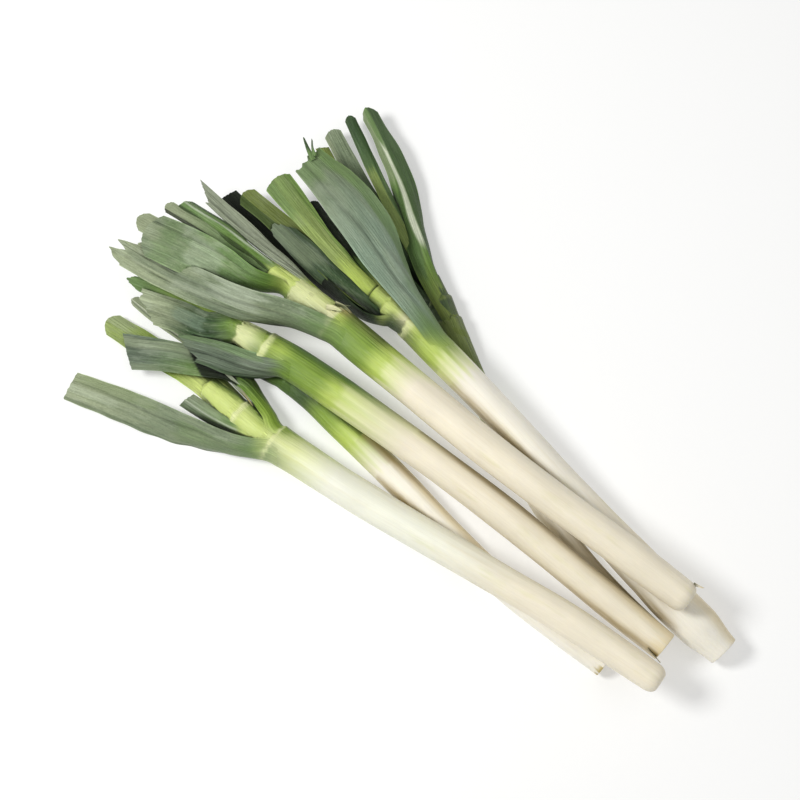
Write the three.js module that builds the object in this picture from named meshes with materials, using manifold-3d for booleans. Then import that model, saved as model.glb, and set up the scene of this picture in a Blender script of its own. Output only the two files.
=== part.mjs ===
// A bunch of six long spring onions, lying loosely across each other with no tie.
// Units are millimetres. +X runs along the bunch to the cut leaf tips, +Z is up, and
// z = 0 is the surface that the bunch lies on.
// Each onion is two solids: the white shaft with its trimmed root end, and the greens,
// which are the neck, its collars and every leaf blade that grows from it.
import * as THREE from 'three';
import { mergeVertices } from 'three/addons/utils/BufferGeometryUtils.js';
import Module from 'manifold-3d';

const wasm = await Module();
wasm.setup();

// Driving dimensions
const MIDDLE = [-25.8, -2.1]; // the layout point under the middle of the bunch, which is the origin
const SIDES = 14; // facets round a stalk
const STALK_STEP = 26; // between the sections of a stalk
const SPLIT_GAP = 0.3; // between a white shaft and its greens
const SHEATH = 1.2; // how much thinner a stalk gets past each collar
const COLLAR_EDGE = 0.7; // length of the step at a collar
const BLADE_THICK = 1.1; // along the middle of a leaf blade
const BLADE_EDGE = 0.8; // along its two edges
const BLADE_SINK = 0.35; // how far a blade's base lies under the sheath's surface
const BLADE_ROOT = 9; // length of a blade that stays inside the sheath
const BLADE_STEPS = 8; // sections along a blade
const BLADE_COLUMNS = 6; // strips across a blade
const TIP_ZONE = 0.6; // share of a blade after which its tip line takes shape
const ROOT_DOME = 7; // length of a rounded root end
const GROUND = [700, 500, 40]; // block that trims the undersides flat at z = 0

// Each stalk's axis runs from the root end to the crown, as [x, y, z, radius].
// split is the x where white turns to green, and collars are the x of each sheath's rim.
// A leaf leaves its stalk at x = from, on the side that roll[0] gives: 0 is the top and
// 90 the +Y side. path holds the points of its midline, and the last is its cut tip.
// width gives its flat widths, evenly spaced from base to tip. curl is the arc that a section
// turns through, at the base and at the tip, and fold is the angle of a crease along it.
// tip gives how far the cut runs out across the leaf: slant, round, or teeth of a tear.
const STALKS = {
  a: {
    axis: [
      [-238, 38, 40.2, 9.1], [-212, 40, 38, 9.6], [-162, 44.5, 33.2, 10.2], [-112, 52, 28.3, 10.6],
      [-61, 59.5, 23.4, 10.8], [-9, 66.5, 17.6, 11.3], [18, 69, 14.8, 12], [49, 72, 12.8, 12.8],
      [79, 72, 12.2, 11.8], [104, 72, 12, 9],
    ],
    root: 'round', split: 26, collars: [44, 74],
    leaves: [
      { from: 38, path: [[64, 95, 12], [93, 104, 10], [133, 115, 8], [172, 128, 6]],
        roll: [75, 15], width: [30, 24, 20], curl: [150, 35], tip: { slant: 1.5 } },
      { from: 50, path: [[78, 85, 19], [106, 88, 17]], roll: [40, 15],
        width: [24, 17, 13], curl: [120, 30], fold: 30, tip: { slant: 2 } },
      { from: 44, path: [[70, 54, 15.5], [84, 51.5, 18], [97, 54.5, 18.5], [113, 62.5, 18],
        [135, 74, 17], [157, 88, 14]],
        roll: [-72, 0], width: [26, 18, 24], curl: [150, 25], tip: { slant: -5 } },
      { from: 74, path: [[112, 71, 10], [149, 76, 8], [183, 80, 7]], roll: [20, 5],
        width: [32, 20, 16], curl: [190, 60], tip: { round: 5 } },
    ],
  },
  b: {
    axis: [
      [-206, 47, 7.6, 7.8], [-171, 48, 8, 8.2], [-126, 48.5, 8.4, 8.6], [-78, 45, 8.7, 8.9],
      [-37, 40.4, 9.1, 9.3], [-10, 37.5, 9.2, 9.4], [19, 35.5, 9.1, 9.3], [49, 33.5, 8.9, 9],
      [76, 35, 8.4, 8.4], [103, 39, 8.2, 7],
    ],
    root: 'cut', split: 4, collars: [66, 84],
    leaves: [
      { from: 62, path: [[123, 55, 9], [147, 58, 8], [180, 59, 8]], roll: [60, 20],
        width: [22, 13, 10], curl: [150, 40], fold: 35, tip: { round: 2 } },
      { from: 80, path: [[126, 38, 12], [150, 38, 12]], roll: [-20, 0],
        width: [22, 16, 12], curl: [170, 40], tip: { round: 3 } },
    ],
  },
  c: {
    axis: [
      [-227, 17, 26.5, 9.4], [-175, 17, 26.9, 10.3], [-99, 16.5, 27.5, 11.1], [-47, 18.4, 27.5, 10.9],
      [6, 22, 27.5, 11.3], [32, 24, 27.5, 11.6], [63, 27, 27.5, 11.5], [90, 31, 27.3, 10.8],
      [116, 34, 26.5, 8.5],
    ],
    root: 'cut', split: 26, collars: [86, 106],
    leaves: [
      { from: 66, path: [[85, 47, 29], [109, 55, 27.5], [126, 62, 25]], roll: [70, 10],
        width: [28, 20, 16], curl: [150, 30], tip: { teeth: [9, 8, 4, 2, -3, -9, -6] } },
      { from: 84, path: [[135, 37, 25.5], [160, 44, 25], [185, 52, 23.5]], roll: [-45, 0],
        width: [24, 14, 10], curl: [150, 40], tip: { teeth: [-7, -3, 0, 2, 0, -4, -8] } },
      { from: 108, path: [[126, 46, 28.5], [145, 51.5, 28], [163, 58.5, 27]], roll: [15, 5],
        width: [27, 21, 21], curl: [170, 25], tip: { teeth: [8, 6, 7, 2, -1, -5, -8] } },
    ],
  },
  d: {
    axis: [
      [-221, -12, 43.7, 10], [-167, -9.8, 43.9, 10.9], [-101, -7.1, 42.6, 11.3],
      [-56, -6.5, 40.2, 11.6], [-10, -7.2, 37.8, 11.7], [38, -8, 35.8, 12.2], [74, -9, 35.2, 11.5],
      [117, -8, 36, 8.5],
    ],
    root: 'round', split: 14, collars: [65, 95],
    leaves: [
      { from: 50, path: [[83, 10, 43], [111, 22, 45], [141, 30, 43], [170, 37, 40], [203, 42, 37]],
        roll: [65, 10], width: [30, 23, 21], curl: [150, 30],
        tip: { teeth: [-14, -12, 2, -8, 4, -2, -9] } },
      { from: 97, path: [[118, 9, 45.5], [145, 13.5, 46], [170, 19, 46], [193, 25, 44]],
        roll: [80, 5], width: [24, 25, 28, 31, 29], curl: [130, 30], tip: { round: 7 } },
      { from: 97, path: [[130, 3, 34.5], [167, 12, 34], [206, 19, 33.5]], roll: [10, 0],
        width: [22, 16, 14], curl: [150, 40], tip: { round: 5 } },
      { from: 96, path: [[138, -5, 37.5], [166, -3, 37], [197, 1, 36]], roll: [-25, -10],
        width: [20, 10, 9], curl: [150, 50], tip: { round: 3 } },
      { from: 84, path: [[122, -13, 39], [154, -12, 38], [189, -9, 36]], roll: [-45, -20],
        width: [24, 15, 15], curl: [150, 30], fold: 30, tip: { slant: 3 } },
      { from: 70, path: [[108, -21, 33], [149, -21, 31], [187, -23, 30]], roll: [-80, -8],
        width: [20, 12, 10], curl: [140, 40], tip: { teeth: [7, 4, 1, -2, -5, -9, -7] } },
    ],
  },
  e: {
    axis: [
      [-257, -7, 12, 10.6], [-233, -9, 13.9, 14.1], [-211, -10.8, 15.8, 14.2], [-189, -13.3, 17.4, 13.3],
      [-144, -18.9, 20.9, 12], [-98, -25.7, 24.6, 11], [-53, -32.1, 27, 10.7], [-1, -38, 29, 11],
      [30, -41, 29.6, 10.6], [59, -42, 30, 8.6],
    ],
    root: 'cut', split: -10, collars: [25, 44],
    leaves: [
      { from: 0, path: [[24, -54, 38], [55, -62.5, 41], [90, -73, 41], [118, -79, 40], [147, -82, 38]],
        roll: [-60, -5], width: [30, 33, 37, 35, 24], curl: [150, 20], fold: 10,
        tip: { teeth: [2, 0, 1, 0, -1, -1, -1] } },
      { from: 22, path: [[72, -32.5, 22], [105, -35.5, 20], [139, -38.5, 19]], roll: [85, 10],
        width: [28, 18, 17.5, 17, 13], curl: [150, 30], tip: { teeth: [-12, -8, -4, 0, 1, -1, -4] } },
      { from: 38, path: [[68, -42, 35], [97, -46, 36], [126, -52, 36], [155, -58.5, 35]],
        roll: [10, 0], width: [22, 12, 12, 17, 20], curl: [170, 40], tip: { round: 3 } },
      { from: 34, path: [[64, -48.5, 31], [97, -55, 30], [128, -63, 29]], roll: [-50, -20],
        width: [22, 12, 12, 12, 8], curl: [150, 50], tip: { round: 2 } },
      { from: 28, path: [[52, -25.5, 18], [82, -24.5, 13], [116, -28, 11], [179, -35, 10]],
        roll: [110, 15], width: [26, 24, 20, 15, 13], curl: [150, 40], tip: { slant: 2 } },
      { from: 36, path: [[66, -38, 17], [118, -40.5, 15], [170, -41.5, 15]], roll: [170, 180],
        width: [24, 17, 14], curl: [150, 40], tip: { round: 4 } },
    ],
  },
  f: {
    axis: [
      [-216, 10.5, 7, 7], [-185, 8.5, 7.2, 7.3], [-149, 3, 7.2, 7.4], [-106, -10, 7.3, 7.5],
      [-67, -25, 7.4, 7.6], [-31, -41, 7.8, 8.2], [-2, -55, 8.8, 9.2], [20, -67, 10, 9.4],
      [41, -79, 12, 7.5],
    ],
    root: 'cut', split: -48, collars: [10, 24],
    leaves: [
      { from: 4, path: [[39, -82, 16], [65, -97, 18], [105, -120, 19], [146, -138, 20]],
        roll: [-60, 14], width: [26, 25, 15], curl: [150, 30], fold: 35, tip: { round: 5 } },
      { from: 16, path: [[63, -87, 14], [99, -102, 15], [152, -128, 16]], roll: [-10, -5],
        width: [22, 11, 8], curl: [150, 50], tip: { round: 3 } },
      { from: 12, path: [[64, -79, 11], [111, -95, 12], [155, -113, 14]], roll: [40, 10],
        width: [22, 14, 12], curl: [150, 40], tip: { round: 3 } },
      { from: 20, path: [[81, -72, 8], [119, -86, 8], [153, -101, 9]], roll: [100, 20],
        width: [20, 11, 9], curl: [140, 40], tip: { slant: 2 } },
    ],
  },
};

const UP = new THREE.Vector3(0, 0, 1);
const rad = THREE.MathUtils.degToRad;
const mix = THREE.MathUtils.lerp;

// A closed triangle mesh as a solid that can be joined and cut.
function solid(points, triangles) {
  const geometry = new THREE.BufferGeometry();
  geometry.setAttribute('position', new THREE.Float32BufferAttribute(points.flat(), 3));
  geometry.setIndex(triangles.flat());
  return solidOf(geometry);
}

function solidOf(geometry) {
  geometry.deleteAttribute('normal');
  geometry.deleteAttribute('uv');
  const merged = mergeVertices(geometry, 1e-4);
  return new wasm.Manifold(new wasm.Mesh({
    numProp: 3,
    vertProperties: new Float32Array(merged.attributes.position.array),
    triVerts: new Uint32Array(merged.index.array),
  }));
}

// The largest connected body of a solid, with any pocket that joining sealed filled in.
function mainBody(shape) {
  const bodies = shape.decompose();
  return bodies.reduce((best, body) => (body.volume() > best.volume() ? body : best));
}

function meshOf(name, shape, material) {
  const result = shape.getMesh();
  const geometry = new THREE.BufferGeometry();
  geometry.setAttribute('position', new THREE.BufferAttribute(result.vertProperties, 3));
  geometry.setIndex(new THREE.BufferAttribute(result.triVerts, 1));
  const mesh = new THREE.Mesh(geometry, material);
  mesh.name = name;
  return mesh;
}

// The axis of a stalk: a smooth curve, its radius, and the frame across it.
class Axis {
  constructor(points) {
    this.curve = new THREE.CatmullRomCurve3(
      points.map(([x, y, z]) => new THREE.Vector3(x - MIDDLE[0], y - MIDDLE[1], z)),
      false, 'centripetal');
    this.radii = points.map((p) => p[3]);
  }

  // The curve's own parameter where it passes x
  at(x) {
    let low = 0;
    let high = 1;
    for (let i = 0; i < 30; i++) {
      const middle = (low + high) / 2;
      if (this.curve.getPoint(middle).x < x - MIDDLE[0]) low = middle;
      else high = middle;
    }
    return (low + high) / 2;
  }

  radius(t) {
    const place = t * (this.radii.length - 1);
    const i = Math.min(Math.floor(place), this.radii.length - 2);
    return mix(this.radii[i], this.radii[i + 1], THREE.MathUtils.smoothstep(place, i, i + 1));
  }

  frame(t) {
    return frameOf(this.curve.getPoint(t), this.curve.getTangent(t));
  }
}

// A point with the directions along, to the side and up across a curve.
function frameOf(point, along) {
  const up = UP.clone().addScaledVector(along, -UP.dot(along)).normalize();
  const side = up.clone().cross(along);
  return { point, along, side, up };
}

// A tube through rings, each { frame, radius }, with flat ends.
function tube(rings) {
  const points = [];
  const triangles = [];
  for (const { frame, radius } of rings) {
    for (let i = 0; i < SIDES; i++) {
      const angle = (2 * Math.PI * i) / SIDES;
      const p = frame.point.clone()
        .addScaledVector(frame.side, radius * Math.cos(angle))
        .addScaledVector(frame.up, radius * Math.sin(angle));
      points.push(p.toArray());
    }
  }
  for (let j = 0; j + 1 < rings.length; j++) {
    for (let i = 0; i < SIDES; i++) {
      const a = j * SIDES + i;
      const b = j * SIDES + ((i + 1) % SIDES);
      triangles.push([a, b, b + SIDES], [a, b + SIDES, a + SIDES]);
    }
  }
  const last = (rings.length - 1) * SIDES;
  for (let i = 1; i + 1 < SIDES; i++) {
    triangles.push([0, i + 1, i], [last, last + i, last + i + 1]);
  }
  return solid(points, triangles);
}

function stations(axis, from, to) {
  const length = axis.curve.getPoint(from).distanceTo(axis.curve.getPoint(to));
  const count = Math.max(1, Math.round(length / STALK_STEP));
  return Array.from({ length: count + 1 }, (_, i) => mix(from, to, i / count));
}

function shaftOf(stalk, axis) {
  const end = axis.at(stalk.split - SPLIT_GAP);
  const rings = stations(axis, 0, end).map((t) => ({ frame: axis.frame(t), radius: axis.radius(t) }));
  if (stalk.root === 'round') {
    const first = rings.shift();
    const dome = [[0, 0.55], [0.3, 0.83], [1, 1]];
    const start = axis.frame(0);
    for (const [out, share] of dome.reverse()) {
      const point = start.point.clone().addScaledVector(start.along, out * ROOT_DOME);
      rings.unshift({ frame: { ...start, point }, radius: first.radius * share });
    }
  }
  return tube(rings);
}

// The neck, which steps in at each collar where a sheath ends.
function neckOf(stalk, axis) {
  const rings = [];
  const stops = [stalk.split, ...stalk.collars];
  stops.forEach((x, layer) => {
    const from = axis.at(layer ? x + COLLAR_EDGE : x);
    const to = layer + 1 < stops.length ? axis.at(stops[layer + 1]) : 1;
    for (const t of stations(axis, from, to)) {
      rings.push({ frame: axis.frame(t), radius: axis.radius(t) - layer * SHEATH });
    }
  });
  return tube(rings);
}

// How far a blade's tip line runs past its midline's end, at s from -1 to 1 across it
function tipReach(tip, s) {
  if (tip.teeth) return tip.teeth[Math.round(((s + 1) / 2) * (tip.teeth.length - 1))];
  return (tip.slant ?? 0) * s - (tip.round ?? 0) * s * s;
}

// A blade's section turns by the crease and then along an arc. This is the place at s.
function sectionAt(s, width, curl, fold) {
  const start = rad(fold);
  const turn = rad(curl) / 2;
  const end = start + turn * Math.abs(s);
  const sideways = (width / 2) * (Math.sin(end) - Math.sin(start)) / turn;
  const down = (width / 2) * (Math.cos(start) - Math.cos(end)) / turn;
  return { sideways: Math.sign(s) * sideways, down, lean: s === 0 ? 0 : Math.sign(s) * end };
}

// The value at a share v of the way along evenly spaced values
function valueAt(values, v) {
  const place = v * (values.length - 1);
  const i = Math.min(Math.floor(place), values.length - 2);
  return mix(values[i], values[i + 1], place - i);
}

function bladeOf(leaf, stalk, axis) {
  const base = [leaf.from - BLADE_ROOT, leaf.from].map((x) => {
    const t = axis.at(x);
    const { point, side, up } = axis.frame(t);
    const layer = stalk.collars.filter((collar) => collar < x).length;
    const reach = axis.radius(t) - layer * SHEATH - BLADE_SINK;
    return point.clone()
      .addScaledVector(up, reach * Math.cos(rad(leaf.roll[0])))
      .addScaledVector(side, reach * Math.sin(rad(leaf.roll[0])));
  });
  const path = leaf.path.map(([x, y, z]) => new THREE.Vector3(x - MIDDLE[0], y - MIDDLE[1], z));
  const curve = new THREE.CatmullRomCurve3([...base, ...path], false, 'centripetal');
  const length = curve.getLength();
  const outer = [];
  const inner = [];
  for (let j = 0; j <= BLADE_STEPS; j++) {
    const u = j / BLADE_STEPS;
    for (let i = 0; i <= BLADE_COLUMNS; i++) {
      const s = (2 * i) / BLADE_COLUMNS - 1;
      const shaped = THREE.MathUtils.smoothstep(u, TIP_ZONE, 1);
      const place = u + (shaped * tipReach(leaf.tip, s)) / length;
      const beyond = Math.max(0, place - 1) * length;
      const v = Math.min(place, 1);
      const along = curve.getTangentAt(v);
      const { point, side, up } = frameOf(curve.getPointAt(v).addScaledVector(along, beyond), along);
      const roll = rad(mix(leaf.roll[0], leaf.roll[1], THREE.MathUtils.smoothstep(v, 0.1, 0.8)));
      const out = up.clone().multiplyScalar(Math.cos(roll)).addScaledVector(side, Math.sin(roll));
      const across = out.clone().cross(along);
      const width = valueAt(leaf.width, v);
      const curl = mix(leaf.curl[0], leaf.curl[1], Math.min(1, v * 1.6));
      const fold = (leaf.fold ?? 0) * Math.min(1, v * 2);
      const { sideways, down, lean } = sectionAt(s, width, curl, fold);
      const p = point.clone().addScaledVector(across, sideways).addScaledVector(out, -down);
      const thick = mix(BLADE_THICK, BLADE_EDGE, s * s);
      const q = p.clone()
        .addScaledVector(out, -thick * Math.cos(lean))
        .addScaledVector(across, -thick * Math.sin(lean));
      outer.push(p.toArray());
      inner.push(q.toArray());
    }
  }
  return slab(outer, inner, BLADE_STEPS, BLADE_COLUMNS);
}

// A thin closed body between two grids of points, split into triangles alike on both.
function slab(outer, inner, rows, columns) {
  const size = outer.length;
  const triangles = [];
  const id = (j, i) => j * (columns + 1) + i;
  for (let j = 0; j < rows; j++) {
    for (let i = 0; i < columns; i++) {
      const [a, b, c, d] = [id(j, i), id(j, i + 1), id(j + 1, i + 1), id(j + 1, i)];
      triangles.push([a, c, b], [a, d, c]);
      triangles.push([a + size, b + size, c + size], [a + size, c + size, d + size]);
    }
  }
  const rim = [];
  for (let i = 0; i < columns; i++) rim.push(id(0, i));
  for (let j = 0; j < rows; j++) rim.push(id(j, columns));
  for (let i = columns; i > 0; i--) rim.push(id(rows, i));
  for (let j = rows; j > 0; j--) rim.push(id(j, 0));
  rim.forEach((a, k) => {
    const b = rim[(k + 1) % rim.length];
    triangles.push([a, b, b + size], [a, b + size, a + size]);
  });
  return solid([...outer, ...inner], triangles);
}

const ground = solidOf(new THREE.BoxGeometry(...GROUND).translate(0, 0, -GROUND[2] / 2));

const white = { color: '#efe9d4', roughness: 0.45, metalness: 0 };
const green = { color: '#5d7f55', roughness: 0.6, metalness: 0 };

const bunch = new THREE.Group();
for (const [letter, stalk] of Object.entries(STALKS)) {
  const axis = new Axis(stalk.axis);
  const shaft = shaftOf(stalk, axis).subtract(ground);
  const blades = stalk.leaves.map((leaf) => bladeOf(leaf, stalk, axis));
  const greens = blades.reduce((sum, blade) => sum.add(blade), neckOf(stalk, axis)).subtract(ground);
  bunch.add(
    meshOf(`stalk_${letter}_shaft`, mainBody(shaft), new THREE.MeshStandardMaterial(white)),
    meshOf(`stalk_${letter}_greens`, mainBody(greens), new THREE.MeshStandardMaterial(green)),
  );
}

export default bunch;
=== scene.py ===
"""A bunch of six long spring onions, lying loosely across each other with no tie.

The layout is in millimetres, as in the CAD source, and meshes are made in metres. +X runs
to the cut leaf tips and +Z is up. Each stalk gets a skin for its white shaft, a neck with
the rims of its sheaths, and one piece for every leaf blade.
"""
import math

import bpy
import numpy as np
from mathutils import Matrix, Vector
from mathutils.bvhtree import BVHTree


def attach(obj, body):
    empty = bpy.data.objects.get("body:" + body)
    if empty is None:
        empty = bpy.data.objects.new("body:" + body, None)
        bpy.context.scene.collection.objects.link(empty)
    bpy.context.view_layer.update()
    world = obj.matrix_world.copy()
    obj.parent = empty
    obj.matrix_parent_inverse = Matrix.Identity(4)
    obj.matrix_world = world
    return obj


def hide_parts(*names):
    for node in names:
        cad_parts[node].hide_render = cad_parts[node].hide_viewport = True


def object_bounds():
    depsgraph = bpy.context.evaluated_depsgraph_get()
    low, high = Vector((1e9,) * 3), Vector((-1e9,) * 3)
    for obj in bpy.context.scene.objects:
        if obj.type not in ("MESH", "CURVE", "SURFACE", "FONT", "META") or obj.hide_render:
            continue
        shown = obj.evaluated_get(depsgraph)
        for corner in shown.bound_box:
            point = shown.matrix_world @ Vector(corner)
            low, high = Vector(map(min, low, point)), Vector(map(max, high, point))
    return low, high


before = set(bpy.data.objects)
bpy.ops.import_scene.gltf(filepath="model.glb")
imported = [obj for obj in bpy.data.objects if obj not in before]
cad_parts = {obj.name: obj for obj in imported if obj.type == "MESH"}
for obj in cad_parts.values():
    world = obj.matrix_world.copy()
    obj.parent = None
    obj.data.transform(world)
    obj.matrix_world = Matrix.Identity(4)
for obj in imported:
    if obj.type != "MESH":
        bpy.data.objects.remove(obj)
cad_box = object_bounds()

# Driving dimensions, in millimetres
MM = 0.001
MIDDLE = np.array([-25.8, -2.1, 0.0])  # the layout point under the middle of the bunch
SIDES = 88  # facets round a stalk
SHAFT_STEP = 2.4  # between the rings of a shaft
NECK_STEP = 0.8  # between the rings of a neck
SHEATH = 1.2  # how much thinner a stalk gets past each collar
RIM_ROLL = 2.2  # length over which a sheath's rim turns in
RIM_FLARE = 0.15  # how far a rim opens outwards just before its edge
CROWN_TAPER = 4  # length over which the end of a neck draws in
BLADE_THICK = 1.1  # along the middle of a leaf blade
BLADE_EDGE = 0.8  # near its two edges
BLADE_SINK = 0.35  # how far a blade's base lies under the sheath's surface
BLADE_ROOT = 9  # length of a blade that stays inside the sheath
ROOT_DEPTH = 1.6  # how deep the very start of a blade lies
BLADE_LAID = 0.12  # how high a blade's base then lies on its sheath
EDGE_SINK = 0.6  # how much lower the edges of a blade's base lie
ROOT_TONGUE = 3  # how much later those edges come out of the sheath
BLADE_STEP = 1.5  # between the rows of a blade
BLADE_COLUMNS = 44  # strips across a blade
TIP_ZONE = 0.6  # share of a blade after which its tip line takes shape
BUCKLES = 0.4  # height of a blade's gentle buckles
VEINS = 0.12  # height of its strongest veins
EDGE_WAVES = 0.5  # height of the waves of its edges
CREASE_DEPTH = 0.6
CREASE_WIDTH = 0.9
CREASE_SHADE = 0.3  # how much darker a crease is
EDGE_LIGHT = 0.5  # how much lighter a blade's thin edges are
SCRAP_THICK = 0.5
LOBES = 0.22  # height of the broad dents of a stalk
FLUTES = 0.06  # height of its fine flutes
ROOT_DOME = 7  # length of a rounded root end
ROOT_LAYERS = 5  # sheaths that show as rings on a cut root end
CREVICE_REACH = 0.022  # metres within which a surface crowds another
BLADE_CLEAR = 0.0006  # metres off a leaf blade where its view starts
STALK_CLEAR = 0.0017  # metres off a stalk, more than the step at a rim
CREVICE_RAYS = 14
CREVICE_GRID = 2  # crowding is worked out at every second row and column
# For each material, how crowded a place is where painted crevice shade starts and ends, and what
# that painted shade leaves of red, green and blue there
CREVICE_SHADES = {
    "onion_skin": (0.15, 0.9, (0.4, 0.32, 0.15)),
    "sheath_skin": (0.2, 0.9, (0.18, 0.2, 0.1)),
    "leaf_wax": (0.08, 0.65, (0.1, 0.12, 0.08)),
}
UP = np.array([0.0, 0.0, 1.0])

# Colours as they show in daylight, red, green and blue from 0 to 255
COLOURS = {
    "cream": (240, 231, 208),
    "ivory": (246, 241, 226),
    "milk": (238, 238, 220),
    "buff": (232, 217, 180),
    "pale": (226, 231, 170),
    "fresh": (208, 222, 128),
    "lime": (184, 204, 96),
    "grass": (138, 166, 62),
    "green": (96, 128, 52),
    "deep": (48, 72, 34),
    "olive": (110, 124, 56),
    "collar": (228, 226, 178),
    "straw": (196, 178, 116),
    "sage": (156, 166, 132),
    "grey_green": (124, 138, 108),
    "glaucous": (132, 152, 130),
    "slate": (98, 112, 92),
    "fern": (110, 138, 82),
    "bottle": (58, 82, 48),
    # painted shade: near black, standing for deep shade between leaves
    "painted_shade_black": (16, 26, 8),
    "bright": (146, 164, 90),
    "moss": (120, 142, 80),
    "dry": (150, 158, 134),
    "silver": (190, 200, 176),
    # pale cut and torn edges, and also painted highlights and glints on leaves
    "white_edge_and_glint": (218, 222, 200),
}
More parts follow.
